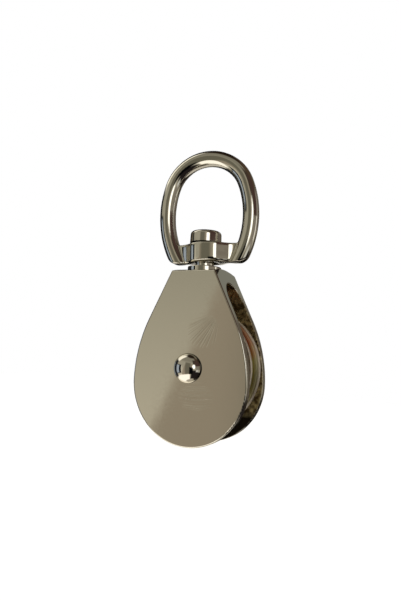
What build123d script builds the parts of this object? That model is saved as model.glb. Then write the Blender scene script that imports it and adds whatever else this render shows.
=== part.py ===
from build123d import *
import os
from math import asin, atan2, cos, degrees, radians, sin, sqrt

# Swivel eye pulley, in millimetres.
# The origin is the centre of the sheave. +Y runs along its axle, from the front cheek to the back one,
# and +Z points up to the eye that the pulley hangs by.

os.makedirs("parts", exist_ok=True)

# Sheave
sheave_diameter = 38.0
sheave_rim_width = 8.6
sheave_hub_diameter = 14.0
sheave_web_width = 6.4
rim_depth = 6.2
rim_chamfer = 0.3
groove_depth = 4.4
groove_radius = 3.0
groove_flank_angle = 14.0

# Axle rivet
axle_diameter = 6.0
axle_head_diameter = 9.1
axle_head_height = 3.1
axle_tail_diameter = 8.4
axle_tail_height = 1.5

# Frame casting
slot_width = 11.6
cheek_wall = 2.6
rim_cover = 0.25
cheek_drop = 4.5
cheek_side_radius = 44.5
flank_angle = 25.9
rope_room = 7.7
crown_thickness = 3.3
crown_camber = 1.2
collar_diameter = 10.8
collar_height = 1.0
frame_edge_rounding = 0.5
slot_edge_rounding = 0.35
collar_rounding = 0.3

# Swivel pin
pin_diameter = 6.0
pin_head_diameter = 10.2
pin_head_height = 3.95
pin_head_rounding = 1.1
pin_tail_diameter = 7.8
pin_tail_height = 1.2
pin_seat_diameter = 8.4

# Swivel eye
hub_depth = 11.4
hub_front_radius = 11.0
hub_front_angle = 16.2
hub_corner_radius = 4.2
hub_height = 6.3
hub_lift = 1.2
hub_hollow_radius = 6.0
hub_top_rounding = 0.35
hub_foot_rounding = 1.0
web_thickness = 2.6
web_flare_radius = 8.0
web_flare_angle = 25.0
bar_diameter = 5.3
eye_height = 37.4
eye_crown_radius = 13.0
eye_crown_angle = 19.5
eye_side_radius = 30.8
eye_corner_radius = 4.5
eye_corner_bite = 0.05
eye_turn = 9.0

# Clearances
running_clearance = 0.05
rivet_clearance = 0.02
side_play = 0.25
head_play = 0.15

# Sizes that follow from the ones above
sheave_radius = sheave_diameter / 2
sheave_hub_width = slot_width - 2 * side_play
frame_thickness = slot_width + 2 * cheek_wall
cheek_bottom_radius = sheave_radius + rim_cover
slot_roof = sheave_radius + rope_room
crown_edge = slot_roof + crown_thickness
crown_top = crown_edge + crown_camber
collar_top = crown_top + collar_height
hub_bottom = collar_top + hub_lift
hub_top = hub_bottom + hub_height


def cap_radius(edge_radius, height):
    # radius of the ball whose cap has this edge radius and height
    return (edge_radius**2 + height**2) / (2 * height)


# Sheave: one turned section, with a round groove bottom and two flared flanks
groove_centre = sheave_radius - groove_depth + groove_radius
flank_foot_radius = groove_centre - groove_radius * sin(radians(groove_flank_angle))
flank_foot_width = groove_radius * cos(radians(groove_flank_angle))
flank_flare = (sheave_radius - flank_foot_radius) * sin(radians(groove_flank_angle)) / cos(
    radians(groove_flank_angle)
)
rim_inner_radius = sheave_radius - rim_depth
sheave_bore_radius = axle_diameter / 2 + running_clearance

with BuildPart() as sheave:
    with BuildSketch(Plane.XY) as sheave_section:
        with BuildLine():
            CenterArc((groove_centre, 0), groove_radius, 180, groove_flank_angle - 90)
            Polyline(
                (flank_foot_radius, flank_foot_width),
                (sheave_radius, flank_foot_width + flank_flare),
                (sheave_radius, sheave_rim_width / 2),
                (rim_inner_radius, sheave_rim_width / 2),
                (rim_inner_radius, sheave_web_width / 2),
                (sheave_hub_diameter / 2, sheave_web_width / 2),
                (sheave_hub_diameter / 2, sheave_hub_width / 2),
                (sheave_bore_radius, sheave_hub_width / 2),
                (sheave_bore_radius, 0),
                (groove_centre - groove_radius, 0),
            )
        make_face()
        rim_corners = sheave_section.vertices().group_by(Axis.X)[-1]
        chamfer(rim_corners, rim_chamfer)
        mirror(about=Plane.XZ)
    revolve(axis=Axis.Y)

sheave.part.label = "sheave"
export_step(sheave.part, "parts/sheave.step")

# Axle rivet: domed head on the front cheek, low closed end on the back one
cheek_face = frame_thickness / 2
axle_tail_ball = cap_radius(axle_tail_diameter / 2, axle_tail_height)

with BuildPart() as axle_rivet:
    with BuildSketch(Plane.XY):
        with BuildLine():
            EllipticalCenterArc(
                (0, -cheek_face), axle_head_diameter / 2, axle_head_height, start_angle=-90, arc_size=90
            )
            Polyline(
                (axle_head_diameter / 2, -cheek_face),
                (axle_diameter / 2, -cheek_face),
                (axle_diameter / 2, cheek_face),
                (axle_tail_diameter / 2, cheek_face),
            )
            RadiusArc(
                (axle_tail_diameter / 2, cheek_face), (0, cheek_face + axle_tail_height), -axle_tail_ball
            )
            Line((0, cheek_face + axle_tail_height), (0, -cheek_face - axle_head_height))
        make_face()
    revolve(axis=Axis.Y)

axle_rivet.part.label = "axle_rivet"
export_step(axle_rivet.part, "parts/axle_rivet.step")

# Frame: the cheeks' outline seen from the front, crossed with the section seen from the side
cheek_side_centre = cheek_bottom_radius - cheek_side_radius
flank_foot = (
    cheek_side_centre + cheek_side_radius * cos(radians(flank_angle)),
    -cheek_drop + cheek_side_radius * sin(radians(flank_angle)),
)
flank_length = (crown_top - flank_foot[1]) / cos(radians(flank_angle))
flank_top = (flank_foot[0] - flank_length * sin(radians(flank_angle)), crown_top)
cheek_bottom = -cheek_drop - cheek_bottom_radius
section_foot = cheek_bottom - cheek_wall
slot_shoulder = slot_roof - slot_width / 2

with BuildPart() as frame:
    with BuildSketch(Plane.XZ):
        with BuildLine():
            CenterArc((0, -cheek_drop), cheek_bottom_radius, -90, 90)
            CenterArc((cheek_side_centre, -cheek_drop), cheek_side_radius, 0, flank_angle)
            Polyline(flank_foot, flank_top, (0, crown_top))
            mirror(about=Plane.YZ)
        make_face()
    extrude(amount=frame_thickness / 2, both=True)
    with BuildSketch(Plane.YZ):
        with BuildLine():
            Polyline(
                (-slot_width / 2, slot_shoulder),
                (-slot_width / 2, section_foot),
                (-frame_thickness / 2, section_foot),
                (-frame_thickness / 2, crown_edge),
            )
            ThreePointArc(
                (-frame_thickness / 2, crown_edge), (0, crown_top), (frame_thickness / 2, crown_edge)
            )
            Polyline(
                (frame_thickness / 2, crown_edge),
                (frame_thickness / 2, section_foot),
                (slot_width / 2, section_foot),
                (slot_width / 2, slot_shoulder),
            )
            ThreePointArc((slot_width / 2, slot_shoulder), (0, slot_roof), (-slot_width / 2, slot_shoulder))
        make_face()
    extrude(amount=cheek_bottom_radius + cheek_wall, both=True, mode=Mode.INTERSECT)
    outer_faces = frame.faces().filter_by(Axis.Y).sort_by(Axis.Y)
    fillet(outer_faces[0].edges() + outer_faces[-1].edges(), frame_edge_rounding)
    slot_rims = frame.edges().filter_by(
        lambda e: abs(e.center().Y) < slot_width / 2 + slot_edge_rounding
        and e.center().Z < slot_roof
        and abs(e.center().X) > slot_edge_rounding
    )
    fillet(slot_rims, slot_edge_rounding)
    with BuildSketch(Plane.XY.offset(slot_roof)):
        Circle(collar_diameter / 2)
    extrude(amount=collar_top - slot_roof)
    fillet(frame.edges().group_by(Axis.Z)[-1], collar_rounding)
    with BuildSketch(Plane.XY.offset(slot_roof)):
        Circle(pin_seat_diameter / 2)
    extrude(amount=-slot_width / 2, mode=Mode.SUBTRACT)
    with Locations((0, 0, collar_top)):
        Hole(pin_diameter / 2 + rivet_clearance)
    with BuildSketch(Plane.XZ):
        Circle(axle_diameter / 2 + rivet_clearance)
    extrude(amount=frame_thickness, both=True, mode=Mode.SUBTRACT)

frame.part.label = "frame"
export_step(frame.part, "parts/frame.step")

# Swivel pin: flat round head over the hub, shank through hub and crown, end closed over in the slot's roof
pin_head_bottom = hub_top + head_play
pin_head_top = pin_head_bottom + pin_head_height
pin_tail_ball = cap_radius(pin_tail_diameter / 2, pin_tail_height)

with BuildPart() as swivel_pin:
    with BuildSketch(Plane.XZ) as pin_section:
        with BuildLine():
            RadiusArc(
                (0, slot_roof - pin_tail_height), (pin_tail_diameter / 2, slot_roof), -pin_tail_ball
            )
            Polyline(
                (pin_tail_diameter / 2, slot_roof),
                (pin_diameter / 2, slot_roof),
                (pin_diameter / 2, pin_head_bottom),
                (pin_head_diameter / 2, pin_head_bottom),
                (pin_head_diameter / 2, pin_head_top),
                (0, pin_head_top),
                (0, slot_roof - pin_tail_height),
            )
        make_face()
        fillet(pin_section.vertices().sort_by(Axis.Y)[-2:].sort_by(Axis.X)[-1:], pin_head_rounding)
    revolve(axis=Axis.Z)

swivel_pin.part.label = "swivel_pin"
export_step(swivel_pin.part, "parts/swivel_pin.step")

# Swivel eye: round bar bent to a D, a bored hub in the middle of its foot and hollow webs between them
eye_front = Plane(
    origin=(0, 0, 0),
    x_dir=(cos(radians(eye_turn)), sin(radians(eye_turn)), 0),
    z_dir=(sin(radians(eye_turn)), -cos(radians(eye_turn)), 0),
)
bar_radius = bar_diameter / 2
bar_top = hub_bottom + eye_height - bar_radius
crown_centre = (0, bar_top - eye_crown_radius)
side_offset = eye_side_radius - eye_crown_radius
side_centre = (
    -side_offset * cos(radians(eye_crown_angle)),
    crown_centre[1] - side_offset * sin(radians(eye_crown_angle)),
)
foot_level = hub_bottom - bar_radius
foot_angle = degrees(asin((side_centre[1] - foot_level) / eye_side_radius))
side_sweep = foot_angle + eye_crown_angle


def side_reach(level):
    # how far out the bar's centre line is at this height
    return side_centre[0] + sqrt(eye_side_radius**2 - (side_centre[1] - level) ** 2)


# The corner rounding joins the level foot to the bar's outer side. Its arc runs out of the casting
# by a small bite at both ends, so that it crosses the two surfaces instead of only touching them.
outer_radius = eye_side_radius + bar_radius
corner_level = hub_bottom + eye_corner_radius - eye_corner_bite
corner_reach = side_centre[0] + sqrt(
    (outer_radius - eye_corner_radius + eye_corner_bite) ** 2 - (side_centre[1] - corner_level) ** 2
)
corner_angle = degrees(atan2(corner_level - side_centre[1], corner_reach - side_centre[0]))
corner_end = (
    corner_reach + eye_corner_radius * cos(radians(corner_angle)),
    corner_level + eye_corner_radius * sin(radians(corner_angle)),
)
corner_margin = corner_end[0] + eye_corner_radius

eye_foot_plan = Plane(origin=(0, 0, hub_bottom), x_dir=eye_front.x_dir, z_dir=(0, 0, 1))

# The hub's plan has bowed faces and round corners. Hollow curves run out to the web, which flares to the bar
front_level = hub_depth / 2 - hub_front_radius
corner_offset = hub_front_radius - hub_corner_radius
corner_centre = (
    corner_offset * sin(radians(hub_front_angle)),
    front_level + corner_offset * cos(radians(hub_front_angle)),
)
hollow_level = web_thickness / 2 + hub_hollow_radius
hollow_reach = corner_centre[0] + sqrt(
    (hub_corner_radius + hub_hollow_radius) ** 2 - (hollow_level - corner_centre[1]) ** 2
)
hollow_angle = degrees(atan2(hollow_level - corner_centre[1], hollow_reach - corner_centre[0]))
flare_level = web_thickness / 2 + web_flare_radius

with BuildPart() as eye_foot:
    with BuildSketch(eye_foot_plan):
        with BuildLine():
            CenterArc((0, front_level), hub_front_radius, 90, -hub_front_angle)
            CenterArc(
                corner_centre, hub_corner_radius, 90 - hub_front_angle, hollow_angle + hub_front_angle - 90
            )
            CenterArc(
                (hollow_reach, hollow_level), hub_hollow_radius, 180 + hollow_angle, 90 - hollow_angle
            )
            flare = CenterArc((hollow_reach, flare_level), web_flare_radius, -90, web_flare_angle)
            Line(flare @ 1, ((flare @ 1).X, 0))
            mirror(about=Plane.YZ)
            mirror(about=Plane.XZ)
        make_face()
    extrude(amount=hub_height)
    fillet(eye_foot.faces().sort_by(Axis.Z)[-1].edges(), hub_top_rounding)
    fillet(eye_foot.faces().sort_by(Axis.Z)[0].edges(), hub_foot_rounding)
    with BuildSketch(eye_front):
        with BuildLine():
            Polyline(
                (side_reach(hub_top), hub_top),
                (-side_reach(hub_top), hub_top),
                (-side_reach(hub_bottom), hub_bottom),
                (side_reach(hub_bottom), hub_bottom),
                close=True,
            )
        make_face()
    extrude(amount=hub_depth, both=True, mode=Mode.INTERSECT)

with BuildPart() as swivel_eye:
    with BuildLine(eye_front) as bar_line:
        CenterArc(side_centre, eye_side_radius, -foot_angle, side_sweep)
        CenterArc(crown_centre, eye_crown_radius, eye_crown_angle, 180 - 2 * eye_crown_angle)
        CenterArc((-side_centre[0], side_centre[1]), eye_side_radius, 180 - eye_crown_angle, side_sweep)
    with BuildSketch(Plane(origin=bar_line.line @ 0, z_dir=bar_line.line % 0)):
        Circle(bar_radius)
    sweep()
    split(bisect_by=Plane.XY.offset(hub_bottom), keep=Keep.TOP)
    add(eye_foot.part)
    with BuildSketch(eye_front):
        with BuildLine():
            CenterArc((corner_reach, corner_level), eye_corner_radius, -90, 90 + corner_angle)
            Polyline(
                corner_end,
                (corner_margin, corner_end[1]),
                (corner_margin, hub_bottom - eye_corner_radius),
                (corner_reach, hub_bottom - eye_corner_radius),
                (corner_reach, corner_level - eye_corner_radius),
            )
        make_face()
        mirror(about=Plane.YZ)
    extrude(amount=bar_diameter, both=True, mode=Mode.SUBTRACT)
    with BuildSketch(Plane.XY.offset(hub_bottom)):
        Circle(pin_diameter / 2 + running_clearance)
    extrude(amount=hub_height, mode=Mode.SUBTRACT)

swivel_eye.part.label = "swivel_eye"
export_step(swivel_eye.part, "parts/swivel_eye.step")

for piece in (frame, sheave, axle_rivet, swivel_pin, swivel_eye):
    extent = piece.part.bounding_box().size
    print(piece.part.label, "%.2f x %.2f x %.2f mm" % (extent.X, extent.Y, extent.Z))
print("bar centre at the hub's foot and top: %.2f, %.2f" % (side_reach(hub_bottom), side_reach(hub_top)))
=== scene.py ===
# %% [markdown]
# A small plated swivel pulley. A zinc casting with two flat cheeks holds a grooved wheel on a rivet, and a
# cast eye turns on a headed pin above it. Almost everything a viewer sees of such a part is reflection, so
# the lesson gives as much care to the room that the metal mirrors as to the metal itself.
# The solids come from a imported model. The next cell loads them, and nothing below moves them.

# %% Load the fixed frame
from math import asin, cos, pi, radians, sin, tan

import bmesh
import bpy
from mathutils import Matrix, Vector


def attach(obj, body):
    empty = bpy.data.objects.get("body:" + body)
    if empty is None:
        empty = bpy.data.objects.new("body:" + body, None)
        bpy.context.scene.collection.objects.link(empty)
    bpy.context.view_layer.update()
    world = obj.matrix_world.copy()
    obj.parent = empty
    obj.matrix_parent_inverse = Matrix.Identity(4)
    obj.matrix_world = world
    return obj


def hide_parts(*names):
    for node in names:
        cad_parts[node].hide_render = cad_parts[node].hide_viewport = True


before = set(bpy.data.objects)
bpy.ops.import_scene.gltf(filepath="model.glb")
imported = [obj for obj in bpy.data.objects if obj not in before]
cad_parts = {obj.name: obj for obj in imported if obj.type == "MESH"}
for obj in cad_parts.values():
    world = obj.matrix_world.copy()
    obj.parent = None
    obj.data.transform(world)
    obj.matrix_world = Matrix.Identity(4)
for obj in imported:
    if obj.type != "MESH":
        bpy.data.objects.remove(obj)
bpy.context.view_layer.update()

print("solids:", ", ".join(sorted(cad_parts)))

# %% [markdown]
# Blender works in metres and the pulley is measured in millimetres, so one factor turns every size below.
# Colours are written as the hex values of a paint program. Those are sRGB, and a shader wants linear light,
# so one function turns them. One more function adds a node with its settings and its links.

# %% Units, colours and nodes
MM = 0.001


def linear(hex_colour, strength=1.0):
    channels = [int(hex_colour[i : i + 2], 16) / 255 for i in (0, 2, 4)]
    turned = [c / 12.92 if c <= 0.04045 else ((c + 0.055) / 1.055) ** 2.4 for c in channels]
    return (*[c * strength for c in turned], 1.0)


def add_node(tree, kind, links=None, **settings):
    node = tree.nodes.new(kind)
    for setting, value in settings.items():
        setattr(node, setting, value)
    for socket, value in (links or {}).items():
        if isinstance(value, bpy.types.NodeSocket):
            tree.links.new(value, node.inputs[socket])
        else:
            node.inputs[socket].default_value = value
    return node


print("half of full hex brightness is", round(linear("808080")[0], 3), "of the light")

# %% [markdown]
# The camera stands close, to the right of the front cheek and about level with the wheel. It looks up a
# little and is turned slightly on its own axis. Close means that the cheek nearer the lens looks clearly
# larger than the far one, so the distance matters as much as the angle. The picture is 401 by 601 pixels.

# %% Camera
PICTURE_LONG_SIDE = 601
CAMERA_TURN = radians(25.41)
CAMERA_RISE = radians(4.78)
CAMERA_ROLL = radians(2.79)
CAMERA_DISTANCE = 164.8 * MM
CAMERA_ASIDE = -0.25 * MM
CAMERA_DROP = -21.34 * MM
FOCAL_PIXELS = 518.3
# Blender keeps sensor and lens in millimetres, and lays the sensor along the picture's long side
SENSOR_SIDE = 36.0
NEAREST_SEEN = 5 * MM


def camera_axes(turn, rise, roll):
    # right, forward and up of the camera, in the pulley's frame
    level_right = Vector((cos(turn), sin(turn), 0))
    level_forward = Vector((-sin(turn), cos(turn), 0))
    right = level_right * cos(roll) + Vector((0, 0, sin(roll)))
    tilted = -level_right * sin(roll) + Vector((0, 0, cos(roll)))
    forward = level_forward * cos(rise) + tilted * sin(rise)
    up = tilted * cos(rise) - level_forward * sin(rise)
    return right, forward, up


right, forward, up = camera_axes(CAMERA_TURN, CAMERA_RISE, CAMERA_ROLL)
camera_data = bpy.data.cameras.new("camera")
camera_data.sensor_width = SENSOR_SIDE
camera_data.lens = FOCAL_PIXELS * SENSOR_SIDE / PICTURE_LONG_SIDE
camera_data.clip_start = NEAREST_SEEN
camera = bpy.data.objects.new("camera", camera_data)
bpy.context.scene.collection.objects.link(camera)
camera.matrix_world = Matrix((right, up, -forward)).transposed().to_4x4()
camera.location = -right * CAMERA_ASIDE - forward * CAMERA_DISTANCE - up * CAMERA_DROP
bpy.context.scene.camera = camera
print("camera at", [round(c / MM, 1) for c in camera.location], "mm, lens", round(camera_data.lens, 2))

# %% [markdown]
# A plated part is a mirror, so the studio is built by direction: a pale table below, a window on the left
# with a leaning soft box above it, a round lamp to the right of the camera, and dark flags that give the
# round bars their black edges. A tan board leans too, and its edge is what crosses the front cheek from
# corner to corner. Each one is a patch in the world, placed by its angle from the camera's side and its
# height above the horizon. Only the camera's own rays see plain white, which is the backdrop.

# %% The studio that the metal mirrors
HALF_TURN = 180.0
WALL_PALE_BELOW = -13.0
WALL_GREY_ABOVE = 8.0


def studio_patch(tree, under, turn, rise, name, place, half, soft, slant, colour, is_round):
    # turn and rise are sockets in degrees, place and half are the patch's centre and half sizes in degrees,
    # and a slant leans the patch's sides by so many degrees of turn for each degree of rise
    leaning = add_node(
        tree, "ShaderNodeMath", {0: rise, 1: -slant, 2: turn}, operation="MULTIPLY_ADD"
    ).outputs[0]
    off_turn = add_node(tree, "ShaderNodeMath", {0: leaning, 1: place[0]}, operation="SUBTRACT").outputs[0]
    off_turn = add_node(
        tree, "ShaderNodeMath", {0: off_turn, 1: HALF_TURN, 2: -HALF_TURN}, operation="WRAP"
    ).outputs[0]
    off_turn = add_node(tree, "ShaderNodeMath", {0: off_turn}, operation="ABSOLUTE").outputs[0]
    off_rise = add_node(tree, "ShaderNodeMath", {0: rise, 1: place[1]}, operation="SUBTRACT").outputs[0]
    off_rise = add_node(tree, "ShaderNodeMath", {0: off_rise}, operation="ABSOLUTE").outputs[0]
    if is_round:
        spread = add_node(tree, "ShaderNodeCombineXYZ", {0: off_turn, 1: off_rise})
        reach = add_node(tree, "ShaderNodeVectorMath", {0: spread.outputs[0]}, operation="LENGTH")
        edge = add_node(
            tree, "ShaderNodeMath", {0: reach.outputs["Value"], 1: half[0]}, operation="SUBTRACT"
        ).outputs[0]
    else:
        wide = add_node(tree, "ShaderNodeMath", {0: off_turn, 1: half[0]}, operation="SUBTRACT").outputs[0]
        high = add_node(tree, "ShaderNodeMath", {0: off_rise, 1: half[1]}, operation="SUBTRACT").outputs[0]
        edge = add_node(tree, "ShaderNodeMath", {0: wide, 1: high}, operation="MAXIMUM").outputs[0]
    cover = add_node(
        tree,
        "ShaderNodeMapRange",
        {"Value": edge, "From Min": soft, "From Max": -soft},
        interpolation_type="SMOOTHSTEP",
    )
    mixed = add_node(
        tree, "ShaderNodeMix", {0: cover.outputs[0], 6: under, 7: colour}, data_type="RGBA", label=name
    )
    return mixed.outputs[2]


STUDIO_PATCHES = [
    # name, (turn, rise), (half width, half height), soft edge, slant, colour, round
    # the angles are in degrees, and a later patch lies over an earlier one
    ("grey ceiling", (-20, 50), (70, 16), 8, 0, linear("8E8A7C"), False),
    ("dark ceiling on the right", (95, 62), (56, 36), 10, 0, linear("544538"), False),
    ("brown screen over the lamp", (32, 38), (24, 14), 5, 0, linear("453A31"), False),
    ("dark wall on the right", (75, -40), (80, 30), 7, 0, linear("302A2A", 0.6), False),
    ("pale table on the left", (-95, -66), (82, 34), 5, 0, linear("FFFAF0", 1.5), False),
    ("pale table behind", (165, -67), (70, 32), 4, 0, linear("D6D0C4"), False),
    ("floor below", (0, -92), (181, 20), 4, 0, linear("BDB6A6"), False),
    ("cream bounce", (-65, -4), (4, 14), 2, 0, linear("CFCAB8"), False),
    ("dark wall behind the window", (-141, 16), (42, 50), 5, 0, linear("2A2C2E"), False),
    ("soft box high on the left", (-126, 49), (19, 23), 4, 0.5, linear("FBF7E8", 1.35), False),
    ("window frame", (-87, -5), (20, 18), 1.5, 0, linear("14181C", 0.6), False),
    ("window", (-91, -5), (10.5, 15.5), 1.5, 0, linear("A6B1BE", 1.05), False),
    ("tan board", (-28, -2), (24, 30), 0.6, 0.43, linear("A29887"), False),
    ("olive wall", (-27, 0), (17, 30), 6, 0, linear("726F61"), False),
    ("flag behind the camera", (-5, -14), (13, 20), 3, 0, linear("101013", 0.5), False),
    ("round lamp", (14.5, 10.5), (12, 12), 3, 0, linear("FFFFFA", 1.9), True),
    ("reddish screen", (54, 25), (26, 19), 5, 0, linear("4E3C37"), False),
    ("grey wall on the right", (58, 0), (26, 13.8), 1.2, 0, linear("8E877C"), False),
    ("pale strip on the right", (92, 16), (6, 16), 4, 0, linear("A39C96"), False),
    ("narrow card on the right", (82, 4), (4, 9.6), 0.8, 0, linear("F4F2EA", 1.5), False),
    ("purple brown screen", (114, 18), (16, 13), 4, 0, linear("726962"), False),
    ("dark screen on the right", (126, -8), (22, 11), 4, 0, linear("332E27"), False),
    ("small pale card", (50, -15), (13, 6), 4, 0, linear("E4E4DC", 0.9), False),
    ("flag behind the pulley", (182, 30), (32, 62), 6, 0, linear("15130F", 0.6), False),
    ("low white card behind", (172, -5), (9, 4), 2, 0, linear("F4F0E8", 1.2), False),
    ("brown curtain behind", (142, 4), (18, 16), 3, 0, linear("635C51"), False),
    ("grey curtain behind", (143, 28), (14, 8.5), 2, 0, linear("85857C"), False),
    ("dark overhead", (0, 92), (181, 25), 8, 0, linear("2B2119"), False),
]


def make_studio():
    world = bpy.data.worlds.new("studio")
    world.use_nodes = True
    bpy.context.scene.world = world
    tree = world.node_tree
    tree.nodes.clear()
    looking = add_node(tree, "ShaderNodeTexCoord").outputs["Generated"]
    level_back = Vector((-forward.x, -forward.y, 0)).normalized()
    level_right = Vector((-level_back.y, level_back.x, 0))
    aside = add_node(tree, "ShaderNodeVectorMath", {0: looking, 1: level_right}, operation="DOT_PRODUCT")
    ahead = add_node(tree, "ShaderNodeVectorMath", {0: looking, 1: level_back}, operation="DOT_PRODUCT")
    turn = add_node(
        tree, "ShaderNodeMath", {0: aside.outputs["Value"], 1: ahead.outputs["Value"]}, operation="ARCTAN2"
    )
    turn = add_node(tree, "ShaderNodeMath", {0: turn.outputs[0]}, operation="DEGREES").outputs[0]
    height = add_node(tree, "ShaderNodeSeparateXYZ", {0: looking}).outputs["Z"]
    rise = add_node(tree, "ShaderNodeMath", {0: height}, operation="ARCSINE").outputs[0]
    rise = add_node(tree, "ShaderNodeMath", {0: rise}, operation="DEGREES").outputs[0]
    wall = add_node(
        tree,
        "ShaderNodeMapRange",
        {"Value": rise, "From Min": WALL_PALE_BELOW, "From Max": WALL_GREY_ABOVE},
    )
    room = add_node(
        tree,
        "ShaderNodeMix",
        {0: wall.outputs[0], 6: linear("D0CAB8"), 7: linear("ACA898")},
        data_type="RGBA",
    ).outputs[2]
    for patch in STUDIO_PATCHES:
        room = studio_patch(tree, room, turn, rise, *patch)
    mirrored = add_node(tree, "ShaderNodeBackground", {"Color": room, "Strength": 1.0})
    backdrop = add_node(tree, "ShaderNodeBackground", {"Color": (1, 1, 1, 1), "Strength": 1.0})
    seen = add_node(tree, "ShaderNodeLightPath").outputs["Is Camera Ray"]
    shown = add_node(tree, "ShaderNodeMixShader", {0: seen, 1: mirrored.outputs[0], 2: backdrop.outputs[0]})
    add_node(tree, "ShaderNodeOutputWorld", {"Surface": shown.outputs[0]})


make_studio()
print("studio patches:", len(STUDIO_PATCHES))

# %% [markdown]
# The pulley hangs by its eye, so the floor lies well below it. It is a pale plane with a glow of its own,
# which brings it up to the white of the backdrop and still leaves room for a soft shadow.

# %% Floor
FLOOR_LEVEL = -150 * MM
FLOOR_HALF = 1500 * MM
FLOOR_ROUGHNESS = 0.9
FLOOR_GLOW = 0.9

floor_mesh = bpy.data.meshes.new("floor")
corners = [(x * FLOOR_HALF, y * FLOOR_HALF, FLOOR_LEVEL) for x, y in [(-1, -1), (1, -1), (1, 1), (-1, 1)]]
floor_mesh.from_pydata(corners, [], [(0, 1, 2, 3)])
floor = bpy.data.objects.new("floor", floor_mesh)
bpy.context.scene.collection.objects.link(floor)
# the metal mirrors the patches of the studio and not this plane
floor.visible_glossy = False
# matt white board: it gives the eye nothing but a soft shadow
pale_floor = bpy.data.materials.new("matt_white_board")
pale_floor.use_nodes = True
floor_shader = pale_floor.node_tree.nodes["Principled BSDF"]
floor_shader.inputs["Base Color"].default_value = linear("F5F4F0")
floor_shader.inputs["Roughness"].default_value = FLOOR_ROUGHNESS
floor_shader.inputs["Emission Color"].default_value = (1, 1, 1, 1)
floor_shader.inputs["Emission Strength"].default_value = FLOOR_GLOW
floor_mesh.materials.append(pale_floor)
# colours are shown as they are written, with no film curve over them
bpy.context.scene.view_settings.view_transform = "Standard"
print("floor", round(-FLOOR_LEVEL / MM), "mm below the wheel's axle")

# %% [markdown]
# The pulley's skin is bright nickel plate over a zinc casting. Plate copies what lies under it, so the
# mirror is not flat: the tumbled casting leaves slow waves of a few millimetres, and handling leaves fine
# pits and rubbing. Waves a hundredth of a millimetre high bend a reflection visibly, so the bump heights
# below are real sizes. The pits are drawn coarser than real ones, because those would be too fine to show.

# %% Bright nickel plate
PIT_SPACING = 0.9 * MM
PIT_HEIGHT = 0.0004 * MM
# the pits' pattern runs from 0 to 1, and between these two values the plate grows duller by this factor
RUBBED_FROM = 0.35
RUBBED_TO = 0.8
RUBBED_DULLER = 2.2


def shader_of(material):
    return material.node_tree.nodes["Principled BSDF"]


def nickel_plate(name, colour, roughness, wave_height, wave_length):
    material = bpy.data.materials.new(name)
    material.use_nodes = True
    tree = material.node_tree
    shader = shader_of(material)
    shader.inputs["Base Color"].default_value = colour
    shader.inputs["Metallic"].default_value = 1.0
    place = add_node(tree, "ShaderNodeTexCoord").outputs["Object"]
    waves = add_node(tree, "ShaderNodeTexNoise", {"Vector": place, "Scale": 1 / wave_length, "Detail": 1.0})
    pits = add_node(tree, "ShaderNodeTexNoise", {"Vector": place, "Scale": 1 / PIT_SPACING, "Detail": 3.0})
    wavy = add_node(
        tree, "ShaderNodeBump", {"Height": waves.outputs["Fac"], "Distance": wave_height, "Strength": 1.0}
    )
    pitted = add_node(
        tree,
        "ShaderNodeBump",
        {"Height": pits.outputs["Fac"], "Distance": PIT_HEIGHT, "Strength": 1.0, "Normal": wavy.outputs[0]},
    )
    rubbed = add_node(
        tree,
        "ShaderNodeMapRange",
        {"Value": pits.outputs["Fac"], "From Min": RUBBED_FROM, "From Max": RUBBED_TO, "To Min": roughness,
         "To Max": roughness * RUBBED_DULLER},
    )
    tree.links.new(rubbed.outputs[0], shader.inputs["Roughness"])
    tree.links.new(pitted.outputs[0], shader.inputs["Normal"])
    return material


# on the flat cheeks: a warm grey mirror whose edges are a little melted by slow waves
nickel_on_casting = nickel_plate(
    "bright_nickel_on_zinc_casting",
    linear("D9D4C8"),
    roughness=0.045,
    wave_height=0.012 * MM,
    wave_length=7.0 * MM,
)
# on the eye: shorter waves, so the highlights along its bar waver in width
nickel_on_eye = nickel_plate(
    "bright_nickel_on_cast_eye",
    linear("DAD6CB"),
    roughness=0.05,
    wave_height=0.012 * MM,
    wave_length=3.2 * MM,
)
# on the rivets: struck steel is smooth under its plate, so these are the sharpest mirrors
nickel_on_steel = nickel_plate(
    "bright_nickel_on_steel_rivet",
    linear("DDD8CE"),
    roughness=0.04,
    wave_height=0.003 * MM,
    wave_length=4.0 * MM,
)
print("plate:", nickel_on_casting.name, nickel_on_eye.name, nickel_on_steel.name)

# %% [markdown]
# Painted shade lies as a black line where a rivet head meets the surface under it, in the crevice. It could
# be a thin ring of its own, but it has no thickness to speak of, so it is a change of colour in the rivets'
# plate, chosen by the distance from the front cheek and from the underside of the pin's head.

# %% Painted shade under the rivet heads
# how far the cheeks' faces lie from the middle, and the height of the pin head's underside, in mm
CHEEK_FACE = 8.4
PIN_HEAD_BOTTOM = 39.85
# how far the painted crevice shade reaches from the cheek's face and from the pin head's underside
CREVICE_SHADE_ON_AXLE = 0.75 * MM
CREVICE_SHADE_ON_PIN = 0.3 * MM
# the line is full up to this share of its reach, and then fades
CREVICE_SHADE_FULL = 0.6


def near_level(tree, place, level, reach):
    away = add_node(tree, "ShaderNodeMath", {0: place, 1: level}, operation="SUBTRACT").outputs[0]
    away = add_node(tree, "ShaderNodeMath", {0: away}, operation="ABSOLUTE").outputs[0]
    near = add_node(
        tree, "ShaderNodeMapRange", {"Value": away, "From Min": reach, "From Max": CREVICE_SHADE_FULL * reach}
    )
    return near.outputs[0]


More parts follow.
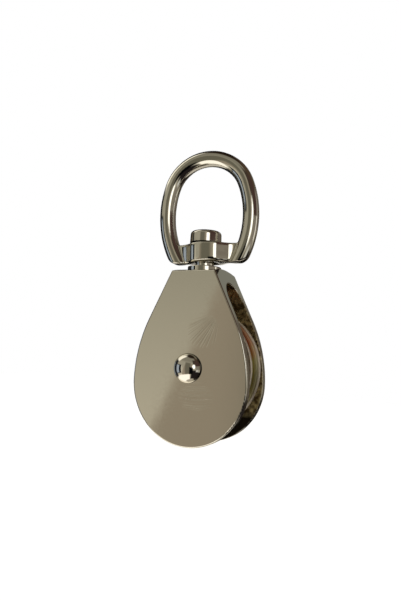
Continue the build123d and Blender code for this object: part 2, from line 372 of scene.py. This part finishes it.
def paint_crevice_shade(material):
    tree = material.node_tree
    shader = shader_of(material)
    place = add_node(tree, "ShaderNodeTexCoord").outputs["Object"]
    parts = add_node(tree, "ShaderNodeSeparateXYZ", {0: place}).outputs
    at_cheek = near_level(tree, parts["Y"], -CHEEK_FACE * MM, CREVICE_SHADE_ON_AXLE)
    at_hub = near_level(tree, parts["Z"], PIN_HEAD_BOTTOM * MM, CREVICE_SHADE_ON_PIN)
    dark = add_node(tree, "ShaderNodeMath", {0: at_cheek, 1: at_hub}, operation="MAXIMUM").outputs[0]
    # painted shade: the plate turns nearly black in the crevice round each head
    colour = add_node(
        tree,
        "ShaderNodeMix",
        {0: dark, 6: tuple(shader.inputs["Base Color"].default_value), 7: linear("1B1A10")},
        data_type="RGBA",
    )
    tree.links.new(colour.outputs[2], shader.inputs["Base Color"])


# the rivets' plate gets its painted crevice shade
paint_crevice_shade(nickel_on_steel)
print("painted crevice shade reaches", CREVICE_SHADE_ON_AXLE / MM, "mm up the axle's head")

# %% [markdown]
# Inside the slot hardly any plate was thrown and nobody polished, so the casting keeps a dull olive brown
# skin with brassy patches. Towards its lower end its colour is painted nearly black, as painted shade. It is
# the same solid as the cheeks, so the finish is chosen by place: a point is inside where it lies between the
# cheeks and below the slot's round roof.

# %% Dull skin and painted shade inside the slot
SLOT_HALF_WIDTH = 5.8 * MM
SLOT_ROOF = 26.7 * MM
SLOT_FADE = 0.06 * MM
SLOT_PATCH = 4.5 * MM
SLOT_MOTTLE = 1.1 * MM
# the slot's painted shade is full below the first height and gone above the second
SLOT_FULL_SHADE_BELOW = -15 * MM
SLOT_SHADE_FROM = -12 * MM
SLOT_ROUGHNESS = 0.5
# the sum of the two patterns at which the skin is all brown, and all brassy
SKIN_BROWN_AT = 0.8
SKIN_BRASSY_AT = 1.2


def dull_and_shaded_inside_slot(material):
    tree = material.node_tree
    shader = shader_of(material)
    place = add_node(tree, "ShaderNodeTexCoord").outputs["Object"]
    parts = add_node(tree, "ShaderNodeSeparateXYZ", {0: place})
    # the distance from the slot's middle plane, or in its round roof from the centre of that round
    above = add_node(
        tree, "ShaderNodeMath", {0: parts.outputs["Z"], 1: SLOT_ROOF - SLOT_HALF_WIDTH}, operation="SUBTRACT"
    )
    above = add_node(tree, "ShaderNodeMath", {0: above.outputs[0], 1: 0.0}, operation="MAXIMUM")
    across = add_node(tree, "ShaderNodeCombineXYZ", {0: parts.outputs["Y"], 1: above.outputs[0]})
    reach = add_node(tree, "ShaderNodeVectorMath", {0: across.outputs[0]}, operation="LENGTH")
    inside = add_node(
        tree,
        "ShaderNodeMapRange",
        {"Value": reach.outputs["Value"], "From Min": SLOT_HALF_WIDTH + 2 * SLOT_FADE,
         "From Max": SLOT_HALF_WIDTH + SLOT_FADE},
    ).outputs[0]
    patches = add_node(tree, "ShaderNodeTexNoise", {"Vector": place, "Scale": 1 / SLOT_PATCH, "Detail": 5.0})
    mottle = add_node(tree, "ShaderNodeTexNoise", {"Vector": place, "Scale": 1 / SLOT_MOTTLE, "Detail": 2.0})
    both = add_node(
        tree, "ShaderNodeMath", {0: patches.outputs["Fac"], 1: mottle.outputs["Fac"]}, operation="ADD"
    )
    skin = add_node(
        tree,
        "ShaderNodeMapRange",
        {"Value": both.outputs[0], "From Min": SKIN_BROWN_AT, "From Max": SKIN_BRASSY_AT},
    )
    brown = add_node(
        tree,
        "ShaderNodeMix",
        {0: skin.outputs[0], 6: linear("6E5C3C"), 7: linear("EAD9A6")},
        data_type="RGBA",
    )
    # painted shade: the skin darkens to nearly black towards the slot's lower end
    low = add_node(
        tree,
        "ShaderNodeMapRange",
        {"Value": parts.outputs["Z"], "From Min": SLOT_SHADE_FROM, "From Max": SLOT_FULL_SHADE_BELOW},
    )
    brown = add_node(
        tree,
        "ShaderNodeMix",
        {0: low.outputs[0], 6: brown.outputs[2], 7: linear("2A241A")},
        data_type="RGBA",
    )
    colour = add_node(
        tree,
        "ShaderNodeMix",
        {0: inside, 6: tuple(shader.inputs["Base Color"].default_value), 7: brown.outputs[2]},
        data_type="RGBA",
    )
    bright = shader.inputs["Roughness"].links[0].from_socket
    rough = add_node(tree, "ShaderNodeMix", {0: inside, 2: bright, 3: SLOT_ROUGHNESS})
    tree.links.new(colour.outputs[2], shader.inputs["Base Color"])
    tree.links.new(rough.outputs[0], shader.inputs["Roughness"])


dull_and_shaded_inside_slot(nickel_on_casting)
print("slot skin between", round(-SLOT_HALF_WIDTH / MM, 1), "and", round(SLOT_HALF_WIDTH / MM, 1), "mm")

# %% [markdown]
# Two marks of work show on the front cheek: a few thin scratches that spread from one point at its upper
# right, and curved lines below the rivet, where a wheel polished round the head. Both are bands of a wave
# that is kept to a small oval on the cheek, and both only bend the reflection, as a shallow scratch does.
# They are drawn wider apart than real ones, which would be too fine to show.

# %% Scratches on the front cheek
CHEEK_MARKS = [
    # middle and half sizes of the oval, the point of the lines, their pitch, their kind and depth, in mm
    ((4.6, 11.5), (5.5, 5.5), (10.0, 17.5), 3.5, "turn", 0.011),
    ((3.2, -8.5), (6.5, 5.0), (1.5, 16.0), 0.35, "reach", 0.012),
]
# what lies further forward than this is on the front cheek's face
FRONT_FACE_FROM = -8 * MM
# an oval's marks are full out to this share of its size, and then fade
OVAL_FULL = 0.6
# the pattern runs from 0 to 1, and a line starts at the first value and is at its full depth at the second
LINE_FROM = 0.52
LINE_FULL = 0.66


def oval_on_cheek(tree, parts, middle, half):
    # 1 in the middle of the oval and 0 at its edge, and only on the front cheek
    across = add_node(tree, "ShaderNodeMath", {0: parts["X"], 1: middle[0] * MM}, operation="SUBTRACT")
    along = add_node(tree, "ShaderNodeMath", {0: parts["Z"], 1: middle[1] * MM}, operation="SUBTRACT")
    both = add_node(tree, "ShaderNodeCombineXYZ", {0: across.outputs[0], 1: along.outputs[0]})
    sizes = (half[0] * MM, half[1] * MM, 1)
    share = add_node(tree, "ShaderNodeVectorMath", {0: both.outputs[0], 1: sizes}, operation="DIVIDE")
    reach = add_node(tree, "ShaderNodeVectorMath", {0: share.outputs[0]}, operation="LENGTH")
    inside = add_node(
        tree, "ShaderNodeMapRange", {"Value": reach.outputs["Value"], "From Min": 1.0, "From Max": OVAL_FULL}
    )
    front = add_node(tree, "ShaderNodeMath", {0: parts["Y"], 1: FRONT_FACE_FROM}, operation="LESS_THAN")
    return add_node(
        tree, "ShaderNodeMath", {0: inside.outputs[0], 1: front.outputs[0]}, operation="MULTIPLY"
    ).outputs[0]


def lines_from(tree, parts, point, pitch, kind):
    # "turn" gives lines that spread from a point, with the pitch in degrees, "reach" rings about it in mm
    spot = (point[0] * MM, point[1] * MM)
    across = add_node(tree, "ShaderNodeMath", {0: parts["X"], 1: spot[0]}, operation="SUBTRACT").outputs[0]
    along = add_node(tree, "ShaderNodeMath", {0: parts["Z"], 1: spot[1]}, operation="SUBTRACT").outputs[0]
    if kind == "turn":
        value = add_node(tree, "ShaderNodeMath", {0: along, 1: across}, operation="ARCTAN2").outputs[0]
        pitch = radians(pitch)
    else:
        both = add_node(tree, "ShaderNodeCombineXYZ", {0: across, 1: along}).outputs[0]
        value = add_node(tree, "ShaderNodeVectorMath", {0: both}, operation="LENGTH").outputs["Value"]
        pitch = pitch * MM
    noise = add_node(
        tree,
        "ShaderNodeTexNoise",
        {"W": value, "Scale": 1 / pitch, "Detail": 1.0},
        noise_dimensions="1D",
    )
    thin = add_node(
        tree,
        "ShaderNodeMapRange",
        {"Value": noise.outputs["Fac"], "From Min": LINE_FROM, "From Max": LINE_FULL},
    )
    return thin.outputs[0]


def scratch_cheek(material):
    tree = material.node_tree
    shader = shader_of(material)
    place = add_node(tree, "ShaderNodeTexCoord").outputs["Object"]
    parts = add_node(tree, "ShaderNodeSeparateXYZ", {0: place}).outputs
    normal = shader.inputs["Normal"].links[0].from_socket
    for middle, half, point, pitch, kind, depth in CHEEK_MARKS:
        where = oval_on_cheek(tree, parts, middle, half)
        lines = lines_from(tree, parts, point, pitch, kind)
        height = add_node(tree, "ShaderNodeMath", {0: lines, 1: where}, operation="MULTIPLY").outputs[0]
        normal = add_node(
            tree,
            "ShaderNodeBump",
            {"Height": height, "Distance": depth * MM, "Strength": 1.0, "Normal": normal},
            invert=True,
        ).outputs[0]
    tree.links.new(normal, shader.inputs["Normal"])


scratch_cheek(nickel_on_casting)
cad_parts["frame"].material_slots[0].material = nickel_on_casting
print("marks on the front cheek:", len(CHEEK_MARKS))

# %% [markdown]
# The wheel was plated as a loose barrel part. Its rims and sides are pale and satin from rubbing, and its
# groove keeps a copper flash. Its copper red is painted only at the top of the wheel, chosen by height, as a
# painted reflection of the reddish screens above, and further down the groove is brassy. Both come in thin
# streaks that run round the wheel, whose palest ends are painted highlights. The finish follows the distance
# from the axle, which in Object coordinates is the length of X and Z, and the place along the axle, which is
# Y.

# %% Copper, brass and painted reflection on the wheel
RIM_RADIUS = 18.4 * MM
RIM_FADE = 0.25 * MM
MOTTLE_SIZE = 3.2 * MM
GROOVE_EDGE = 4.0 * MM
GROOVE_FADE = 0.1 * MM
# above these heights the groove is painted copper red, as a painted reflection of the reddish screens above
COPPER_REFLECTION_LEVEL = 7.0 * MM
COPPER_REFLECTION_FADE = 5.0 * MM
COPPER_REFLECTION_WAVER = 8.0 * MM
STREAK_WIDTH = 0.7 * MM
# the pattern runs from 0 to 1, and a streak is darkest at the first value and palest, a painted highlight, at
# the second
STREAK_DARK_AT = 0.38
STREAK_HIGHLIGHT_AT = 0.62
SIDE_ROUGHNESS = 0.42
GROOVE_ROUGHNESS = 0.3


def wheel_plate(name):
    # the plate brings its waves and pits, and its colour and roughness are replaced at the end
    material = nickel_plate(
        name, linear("D6CBBE"), SIDE_ROUGHNESS, wave_height=0.01 * MM, wave_length=4.0 * MM
    )
    tree = material.node_tree
    shader = shader_of(material)
    place = add_node(tree, "ShaderNodeTexCoord").outputs["Object"]
    parts = add_node(tree, "ShaderNodeSeparateXYZ", {0: place})
    flat = add_node(tree, "ShaderNodeCombineXYZ", {0: parts.outputs["X"], 1: parts.outputs["Z"]})
    radius = add_node(tree, "ShaderNodeVectorMath", {0: flat.outputs[0]}, operation="LENGTH")
    on_rim = add_node(
        tree,
        "ShaderNodeMapRange",
        {"Value": radius.outputs["Value"], "From Min": RIM_RADIUS - RIM_FADE,
         "From Max": RIM_RADIUS + RIM_FADE},
    ).outputs[0]
    middle = add_node(tree, "ShaderNodeMath", {0: parts.outputs["Y"]}, operation="ABSOLUTE")
    in_groove = add_node(
        tree,
        "ShaderNodeMapRange",
        {"Value": middle.outputs[0], "From Min": GROOVE_EDGE + GROOVE_FADE,
         "From Max": GROOVE_EDGE - GROOVE_FADE},
    ).outputs[0]
    mottle = add_node(
        tree, "ShaderNodeTexNoise", {"Vector": place, "Scale": 1 / MOTTLE_SIZE, "Detail": 4.0}
    ).outputs["Fac"]
    waver = add_node(
        tree, "ShaderNodeMath", {0: mottle, 1: COPPER_REFLECTION_WAVER, 2: parts.outputs["Z"]}, operation="MULTIPLY_ADD"
    )
    # painted reflection: copper red only at the top of the wheel, found by height
    copper_reflection_on_top = add_node(
        tree,
        "ShaderNodeMapRange",
        {"Value": waver.outputs[0], "From Min": COPPER_REFLECTION_LEVEL, "From Max": COPPER_REFLECTION_LEVEL + COPPER_REFLECTION_FADE},
    )
    # a point keeps its radius and its place along the axle as the wheel turns, so these two make rings
    rings = add_node(tree, "ShaderNodeCombineXYZ", {0: radius.outputs["Value"], 1: parts.outputs["Y"]})
    streaks = add_node(
        tree, "ShaderNodeTexNoise", {"Vector": rings.outputs[0], "Scale": 1 / STREAK_WIDTH, "Detail": 2.0}
    )
    streak = add_node(
        tree,
        "ShaderNodeMapRange",
        {"Value": streaks.outputs["Fac"], "From Min": STREAK_DARK_AT, "From Max": STREAK_HIGHLIGHT_AT},
    ).outputs[0]
    # streaky plate, whose near-white pale ends in brass and copper are painted highlights
    brass = add_node(
        tree, "ShaderNodeMix", {0: streak, 6: linear("A89E5E"), 7: linear("FFF8CC")}, data_type="RGBA"
    )
    copper = add_node(
        tree, "ShaderNodeMix", {0: streak, 6: linear("B0603F"), 7: linear("F2BC98")}, data_type="RGBA"
    )
    groove = add_node(
        tree,
        "ShaderNodeMix",
        {0: copper_reflection_on_top.outputs[0], 6: brass.outputs[2], 7: copper.outputs[2]},
        data_type="RGBA",
    )
    groove_only = add_node(
        tree, "ShaderNodeMath", {0: in_groove, 1: on_rim}, operation="SUBTRACT", use_clamp=True
    )
    colour = add_node(
        tree,
        "ShaderNodeMix",
        {0: groove_only.outputs[0], 6: linear("EFE4D6"), 7: groove.outputs[2]},
        data_type="RGBA",
    )
    rough = add_node(
        tree, "ShaderNodeMix", {0: groove_only.outputs[0], 2: SIDE_ROUGHNESS, 3: GROOVE_ROUGHNESS}
    )
    tree.links.new(colour.outputs[2], shader.inputs["Base Color"])
    tree.links.new(rough.outputs[0], shader.inputs["Roughness"])
    return material


# pale satin sides, and a groove painted copper red above as a painted reflection, and brass below
wheel_finish = wheel_plate("copper_flash_painted_reflection_and_brass_on_wheel")
print("wheel finish:", wheel_finish.name)

# %% [markdown]
# The wheel, the axle rivet and the swivel pin are turned or headed round an axis. They could be spun from
# an outline by hand, but one Geometry Nodes tree does it for all three: it reads the outline's points,
# lays a grid with one row for each point, and bends the rows round the axis. The outline carries the small
# roundings, which are what catches the light, and two small functions draw them.

# %% Outlines with rounded corners
ROUND_STEPS = 5


def oval_points(centre, radii, start, sweep, steps):
    # points on an oval, from the start angle on through the sweep, both in degrees
    turns = [radians(start + sweep * step / steps) for step in range(steps + 1)]
    return [(centre[0] + radii[0] * cos(t), centre[1] + radii[1] * sin(t)) for t in turns]


def rounded(corners):
    # corners are (out from the axis, along the axis, rounding), and the two ends stay sharp
    points = [Vector(corners[0][:2])]
    for before, corner, after in zip(corners, corners[1:], corners[2:]):
        here = Vector(corner[:2])
        if not corner[2]:
            points.append(here)
            continue
        to_before = (Vector(before[:2]) - here).normalized()
        to_after = (Vector(after[:2]) - here).normalized()
        half = to_before.angle(to_after) / 2
        centre = here + (to_before + to_after).normalized() * corner[2] / sin(half)
        first = here + to_before * corner[2] / tan(half) - centre
        last = here + to_after * corner[2] / tan(half) - centre
        sweep = first.angle_signed(last)
        for step in range(ROUND_STEPS + 1):
            turn = -sweep * step / ROUND_STEPS
            points.append(centre + Matrix.Rotation(turn, 2) @ first)
    points.append(Vector(corners[-1][:2]))
    return [tuple(point) for point in points]


print("steps in a rounded corner:", ROUND_STEPS)

# %% [markdown]
# The tree has named inputs for what a maker would change: the number of sides, how far the axis is tipped
# over, and the finish. It merges the doubled seam and ends with real geometry in the given material.

# %% A tree for turned pieces
SEAM_REACH = 0.001 * MM


def new_tree(name, inputs):
    tree = bpy.data.node_groups.new(name, "GeometryNodeTree")
    tree.interface.new_socket("Geometry", in_out="OUTPUT", socket_type="NodeSocketGeometry")
    tree.interface.new_socket("Geometry", in_out="INPUT", socket_type="NodeSocketGeometry")
    for socket, kind in inputs.items():
        tree.interface.new_socket(socket, in_out="INPUT", socket_type=kind)
    return tree, add_node(tree, "NodeGroupInput").outputs


def turned_piece_tree():
    inputs = {"Sides": "NodeSocketInt", "Tip": "NodeSocketFloat", "Finish": "NodeSocketMaterial"}
    tree, given = new_tree("turned_piece", inputs)
    outline = given["Geometry"]
    rows = add_node(tree, "GeometryNodeAttributeDomainSize", {0: outline}).outputs["Point Count"]
    columns = add_node(tree, "ShaderNodeMath", {0: given["Sides"], 1: 1.0}, operation="ADD").outputs[0]
    grid = add_node(
        tree,
        "GeometryNodeMeshGrid",
        {"Size X": 1.0, "Size Y": 1.0, "Vertices X": columns, "Vertices Y": rows},
    ).outputs["Mesh"]
    place = add_node(tree, "GeometryNodeInputPosition").outputs[0]
    # the grid runs from -0.5 to 0.5 both ways: its X is a share of the turn, its Y a share of the outline
    on_grid = add_node(tree, "ShaderNodeSeparateXYZ", {0: place})
    last_row = add_node(tree, "ShaderNodeMath", {0: rows, 1: 1.0}, operation="SUBTRACT").outputs[0]
    share = add_node(tree, "ShaderNodeMath", {0: on_grid.outputs["Y"], 1: 0.5}, operation="ADD").outputs[0]
    row = add_node(tree, "ShaderNodeMath", {0: share, 1: last_row}, operation="MULTIPLY").outputs[0]
    row = add_node(tree, "ShaderNodeMath", {0: row}, operation="ROUND").outputs[0]
    point = add_node(
        tree,
        "GeometryNodeSampleIndex",
        {"Geometry": outline, "Value": place, "Index": row},
        data_type="FLOAT_VECTOR",
        domain="POINT",
    ).outputs[0]
    on_outline = add_node(tree, "ShaderNodeSeparateXYZ", {0: point})
    turn = add_node(
        tree, "ShaderNodeMath", {0: on_grid.outputs["X"], 1: 2 * pi}, operation="MULTIPLY"
    ).outputs[0]
    along_x = add_node(tree, "ShaderNodeMath", {0: turn}, operation="COSINE").outputs[0]
    along_y = add_node(tree, "ShaderNodeMath", {0: turn}, operation="SINE").outputs[0]
    out = on_outline.outputs["X"]
    x = add_node(tree, "ShaderNodeMath", {0: out, 1: along_x}, operation="MULTIPLY").outputs[0]
    y = add_node(tree, "ShaderNodeMath", {0: out, 1: along_y}, operation="MULTIPLY").outputs[0]
    bent = add_node(tree, "ShaderNodeCombineXYZ", {0: x, 1: y, 2: on_outline.outputs["Z"]}).outputs[0]
    spun = add_node(tree, "GeometryNodeSetPosition", {"Geometry": grid, "Position": bent}).outputs[0]
    closed = add_node(
        tree, "GeometryNodeMergeByDistance", {"Geometry": spun, "Distance": SEAM_REACH}
    ).outputs[0]
    tip = add_node(tree, "ShaderNodeCombineXYZ", {0: given["Tip"]}).outputs[0]
    tipped = add_node(tree, "FunctionNodeEulerToRotation", {0: tip}).outputs[0]
    laid = add_node(tree, "GeometryNodeTransform", {"Geometry": closed, "Rotation": tipped}).outputs[0]
    return finish_tree(tree, laid, given["Finish"])


def finish_tree(tree, geometry, finish):
    real = add_node(tree, "GeometryNodeRealizeInstances", {"Geometry": geometry}).outputs[0]
    smooth = add_node(tree, "GeometryNodeSetShadeSmooth", {"Geometry": real}).outputs[0]
    coated = add_node(tree, "GeometryNodeSetMaterial", {"Geometry": smooth, "Material": finish}).outputs[0]
    add_node(tree, "NodeGroupOutput", {0: coated})
    return tree


turned_piece = turned_piece_tree()
print("tree", turned_piece.name, "with", len(turned_piece.nodes), "nodes")

# %% [markdown]
# A finished piece has to be a plain mesh at the origin, so one helper runs a tree on a start mesh, takes the
# evaluated result and throws the modifier away with the start object. A casting is first rebuilt in even
# voxels. The normals are then recalculated, because a spun shape can come out inside out, and edges sharper
# than a set angle stay sharp.

# %% From a tree to a plain mesh
SHARP_EDGE = radians(40)


def run_tree(name, start_mesh, tree, values, voxel=None):
    maker = bpy.data.objects.new(name + "_maker", start_mesh)
    bpy.context.scene.collection.objects.link(maker)
    if voxel:
        remesh = maker.modifiers.new("voxels", "REMESH")
        remesh.mode = "VOXEL"
        remesh.voxel_size = voxel
    modifier = maker.modifiers.new(tree.name, "NODES")
    modifier.node_group = tree
    sockets = {item.name: item.identifier for item in tree.interface.items_tree if item.in_out == "INPUT"}
    for socket, value in values.items():
        modifier[sockets[socket]] = value
    maker.update_tag()
    depsgraph = bpy.context.evaluated_depsgraph_get()
    mesh = bpy.data.meshes.new_from_object(maker.evaluated_get(depsgraph))
    bpy.data.objects.remove(maker)
    mesh.name = name
    shell = bmesh.new()
    shell.from_mesh(mesh)
    bmesh.ops.recalc_face_normals(shell, faces=shell.faces)
    shell.to_mesh(mesh)
    shell.free()
    mesh.set_sharp_from_angle(angle=SHARP_EDGE)
    mesh.materials.clear()
    mesh.materials.append(values["Finish"])
    piece = bpy.data.objects.new(name, mesh)
    bpy.context.scene.collection.objects.link(piece)
    triangles = sum(len(face.vertices) - 2 for face in mesh.polygons)
    print(name, "has", triangles, "triangles, finish", [m.name for m in mesh.materials])
    return piece


def outline_mesh(name, points):
    mesh = bpy.data.meshes.new(name)
    edges = [(i, i + 1) for i in range(len(points) - 1)]
    mesh.from_pydata([(out * MM, 0, along * MM) for out, along in points], edges, [])
    return mesh


# how far a piece that is spun about Z is tipped over to lie along Y, and how many sides it is given
LIES_ALONG_Y = -pi / 2
SIDES = 128

# %% [markdown]
# The axle rivet is the bright dome on the front cheek. A struck head is flatter than a ball and meets the
# cheek almost square, so its outline is a quarter of an oval. The far end is closed over, a low shallow cap.

# %% Axle rivet
AXLE_RADIUS = 3.0
DOME_RADIUS = 4.55
DOME_HEIGHT = 3.1
DOME_STEPS = 24
TAIL_RADIUS = 4.2
TAIL_HEIGHT = 1.5
CAP_STEPS = 10


def cap_points(edge_radius, height, level):
    # a shallow ball cap from its edge at this level to its pole, up where height is positive
    ball = (edge_radius**2 + height**2) / (2 * abs(height))
    half = asin(edge_radius / ball)
    side = 1 if height > 0 else -1
    turns = [half * (1 - step / CAP_STEPS) for step in range(CAP_STEPS + 1)]
    return [(ball * sin(t), level + height + side * ball * (cos(t) - 1)) for t in turns]


dome = oval_points(
    (0, -CHEEK_FACE), (DOME_RADIUS, DOME_HEIGHT), start=-90, sweep=90, steps=DOME_STEPS
)
shank = [(AXLE_RADIUS, -CHEEK_FACE), (AXLE_RADIUS, CHEEK_FACE)]
tail = cap_points(TAIL_RADIUS, TAIL_HEIGHT, CHEEK_FACE)
axle_rivet = run_tree(
    "axle_rivet_headed",
    outline_mesh("axle_outline", dome + shank + tail),
    turned_piece,
    {"Sides": SIDES, "Tip": LIES_ALONG_Y, "Finish": nickel_on_steel},
)
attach(axle_rivet, "block")
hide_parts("axle_rivet")

# %% [markdown]
# The swivel pin has a flat round head with a soft top edge, and its other end is closed over in the roof of
# the slot, as the axle's is on the back cheek. It stands upright, so what is spun about Z isn't tipped over.

# %% Swivel pin
PIN_RADIUS = 3.0
PIN_HEAD_RADIUS = 5.1
PIN_HEAD_TOP = 43.8
PIN_TOP_ROUNDING = 1.1
PIN_LOW_ROUNDING = 0.2
PIN_HEAD_HEIGHT = PIN_HEAD_TOP - PIN_HEAD_BOTTOM
# the head's side leans in by this share of its height, and two rows keep it straight between its roundings
PIN_SIDE_DRAFT = 0.03
PIN_SIDE_LOW = 0.3
PIN_SIDE_HIGH = 2.6
PIN_TAIL_RADIUS = 3.9
PIN_TAIL_HEIGHT = 1.2
SLOT_ROOF_LEVEL = SLOT_ROOF / MM

pin_tail = cap_points(PIN_TAIL_RADIUS, -PIN_TAIL_HEIGHT, SLOT_ROOF_LEVEL)[::-1]
pin_body = rounded(
    [
        (PIN_TAIL_RADIUS, SLOT_ROOF_LEVEL, 0),
        (PIN_RADIUS, SLOT_ROOF_LEVEL, 0),
        (PIN_RADIUS, PIN_HEAD_BOTTOM, 0),
        (PIN_HEAD_RADIUS, PIN_HEAD_BOTTOM, PIN_LOW_ROUNDING),
        (PIN_HEAD_RADIUS - PIN_SIDE_DRAFT * PIN_SIDE_LOW, PIN_HEAD_BOTTOM + PIN_SIDE_LOW, 0),
        (PIN_HEAD_RADIUS - PIN_SIDE_DRAFT * PIN_SIDE_HIGH, PIN_HEAD_BOTTOM + PIN_SIDE_HIGH, 0),
        (PIN_HEAD_RADIUS - PIN_SIDE_DRAFT * PIN_HEAD_HEIGHT, PIN_HEAD_TOP, PIN_TOP_ROUNDING),
        (PIN_RADIUS, PIN_HEAD_TOP, 0),
        (0, PIN_HEAD_TOP, 0),
    ]
)
swivel_pin = run_tree(
    "swivel_pin_headed",
    outline_mesh("pin_outline", pin_tail + pin_body[1:]),
    turned_piece,
    {"Sides": SIDES, "Tip": 0.0, "Finish": nickel_on_steel},
)
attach(swivel_pin, "block")
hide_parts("swivel_pin")

# %% [markdown]
# The wheel's outline is half of it mirrored: a round groove bottom, flared flanks, rims with soft edges, a
# thinner web and a hub that almost fills the slot.

# %% Wheel
WHEEL_RADIUS = 19.0
RIM_HALF = 4.3
RIM_INNER = 12.8
WEB_HALF = 3.2
HUB_RADIUS = 7.0
HUB_HALF = 5.55
BORE_RADIUS = 3.05
GROOVE_DEPTH = 4.4
GROOVE_RADIUS = 3.0
GROOVE_FLANK = 14.0
GROOVE_STEPS = 10
WHEEL_SIDES = 2 * SIDES
MOUTH_ROUNDING = 0.2
RIM_ROUNDING = 0.3
RECESS_ROUNDING = 0.4
WEB_ROUNDING = 0.5
HUB_ROUNDING = 0.3

groove_centre = WHEEL_RADIUS - GROOVE_DEPTH + GROOVE_RADIUS
groove_foot = groove_centre - GROOVE_RADIUS * sin(radians(GROOVE_FLANK))
groove_half = GROOVE_RADIUS * cos(radians(GROOVE_FLANK))
groove_mouth = groove_half + (WHEEL_RADIUS - groove_foot) * tan(radians(GROOVE_FLANK))
groove_turn = 90 - GROOVE_FLANK
groove = [
    (groove_centre - GROOVE_RADIUS * cos(t), GROOVE_RADIUS * sin(t))
    for t in [radians(groove_turn * (step / GROOVE_STEPS)) for step in range(GROOVE_STEPS + 1)]
]
half_wheel = groove[:-1] + rounded(
    [
        (groove_foot, groove_half, 0),
        (WHEEL_RADIUS, groove_mouth, MOUTH_ROUNDING),
        (WHEEL_RADIUS, RIM_HALF, RIM_ROUNDING),
        (RIM_INNER, RIM_HALF, RECESS_ROUNDING),
        (RIM_INNER, WEB_HALF, WEB_ROUNDING),
        (HUB_RADIUS, WEB_HALF, WEB_ROUNDING),
        (HUB_RADIUS, HUB_HALF, HUB_ROUNDING),
        (BORE_RADIUS, HUB_HALF, 0),
    ]
)
wheel_outline = [(out, -along) for out, along in half_wheel[::-1]] + half_wheel[1:]
wheel = run_tree(
    "wheel_turned",
    outline_mesh("wheel_outline", wheel_outline + wheel_outline[:1]),
    turned_piece,
    {"Sides": WHEEL_SIDES, "Tip": LIES_ALONG_Y, "Finish": wheel_finish},
)
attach(wheel, "wheel")
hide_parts("sheave")

# %% [markdown]
# The eye is a casting: a round bar bent to a D, a web across its foot and a bored hub, with no sharp corner
# where they meet. Modelling each blend by hand would take many surfaces. Instead a copy of the solid is
# merged and rebuilt in even voxels, and a second small tree relaxes it, as tumbling does to a raw casting,
# and lets its skin sink in slow waves. The eye is loose on its pin, so the tree also moves it a millimetre
# to one side and leans it by two degrees.

# %% A tree for the casting's skin
def cast_skin_tree():
    inputs = {
        "Tumbling Steps": "NodeSocketInt",
        "Wave Length": "NodeSocketFloat",
        "Wave Height": "NodeSocketFloat",
        "Play": "NodeSocketVector",
        "Lean": "NodeSocketVector",
        "Finish": "NodeSocketMaterial",
    }
    tree, given = new_tree("cast_skin", inputs)
    place = add_node(tree, "GeometryNodeInputPosition").outputs[0]
    relaxed = add_node(
        tree,
        "GeometryNodeBlurAttribute",
        {"Value": place, "Iterations": given["Tumbling Steps"]},
        data_type="FLOAT_VECTOR",
    ).outputs[0]
    tumbled = add_node(
        tree, "GeometryNodeSetPosition", {"Geometry": given["Geometry"], "Position": relaxed}
    ).outputs[0]
    density = add_node(
        tree, "ShaderNodeMath", {0: 1.0, 1: given["Wave Length"]}, operation="DIVIDE"
    ).outputs[0]
    waves = add_node(
        tree, "ShaderNodeTexNoise", {"Vector": place, "Scale": density, "Detail": 0.0}
    ).outputs["Fac"]
    # the waves run from 0 to 1, so with 1 taken off them the skin only sinks and never grows
    below = add_node(tree, "ShaderNodeMath", {0: waves, 1: 1.0}, operation="SUBTRACT").outputs[0]
    depth = add_node(
        tree, "ShaderNodeMath", {0: below, 1: given["Wave Height"]}, operation="MULTIPLY"
    ).outputs[0]
    normal = add_node(tree, "GeometryNodeInputNormal").outputs[0]
    sunk = add_node(tree, "ShaderNodeVectorMath", {0: normal, "Scale": depth}, operation="SCALE").outputs[0]
    waved = add_node(tree, "GeometryNodeSetPosition", {"Geometry": tumbled, "Offset": sunk}).outputs[0]
    lean = add_node(tree, "FunctionNodeEulerToRotation", {0: given["Lean"]}).outputs[0]
    hung = add_node(
        tree, "GeometryNodeTransform", {"Geometry": waved, "Translation": given["Play"], "Rotation": lean}
    ).outputs[0]
    return finish_tree(tree, hung, given["Finish"])


cast_skin = cast_skin_tree()
print("tree", cast_skin.name, "with", len(cast_skin.nodes), "nodes")

# %% [markdown]
# The copy's loose triangles are merged before anything else. The voxels are finer than the smallest blend
# and coarse enough to keep the piece under two hundred thousand triangles.

# %% Cast eye
# the eye rests turned by this much about the pin
EYE_TURN = radians(9)
EYE_VOXEL = 0.17 * MM
EYE_PLAY = 1.0 * MM
EYE_LEAN = radians(2.2)
HUB_MIDDLE = Vector((0, 0, 36.5 * MM))
MERGE_REACH = 0.002 * MM

eye_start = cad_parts["swivel_eye"].data.copy()
eye_start.materials.clear()
merged = bmesh.new()
merged.from_mesh(eye_start)
bmesh.ops.remove_doubles(merged, verts=merged.verts, dist=MERGE_REACH)
merged.to_mesh(eye_start)
merged.free()
# the eye leans about its hub's middle and slides along its own width
along_eye = Vector((cos(EYE_TURN), sin(EYE_TURN), 0))
lean = Matrix.Rotation(EYE_LEAN, 3, Vector((sin(EYE_TURN), -cos(EYE_TURN), 0)))
play = HUB_MIDDLE - lean @ HUB_MIDDLE + along_eye * EYE_PLAY
cast_eye = run_tree(
    "swivel_eye_cast",
    eye_start,
    cast_skin,
    {
        "Tumbling Steps": 10,
        "Wave Length": 4.0 * MM,
        "Wave Height": 0.05 * MM,
        "Play": tuple(play),
        "Lean": tuple(lean.to_euler()),
        "Finish": nickel_on_eye,
    },
    voxel=EYE_VOXEL,
)
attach(cast_eye, "eye")
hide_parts("swivel_eye")
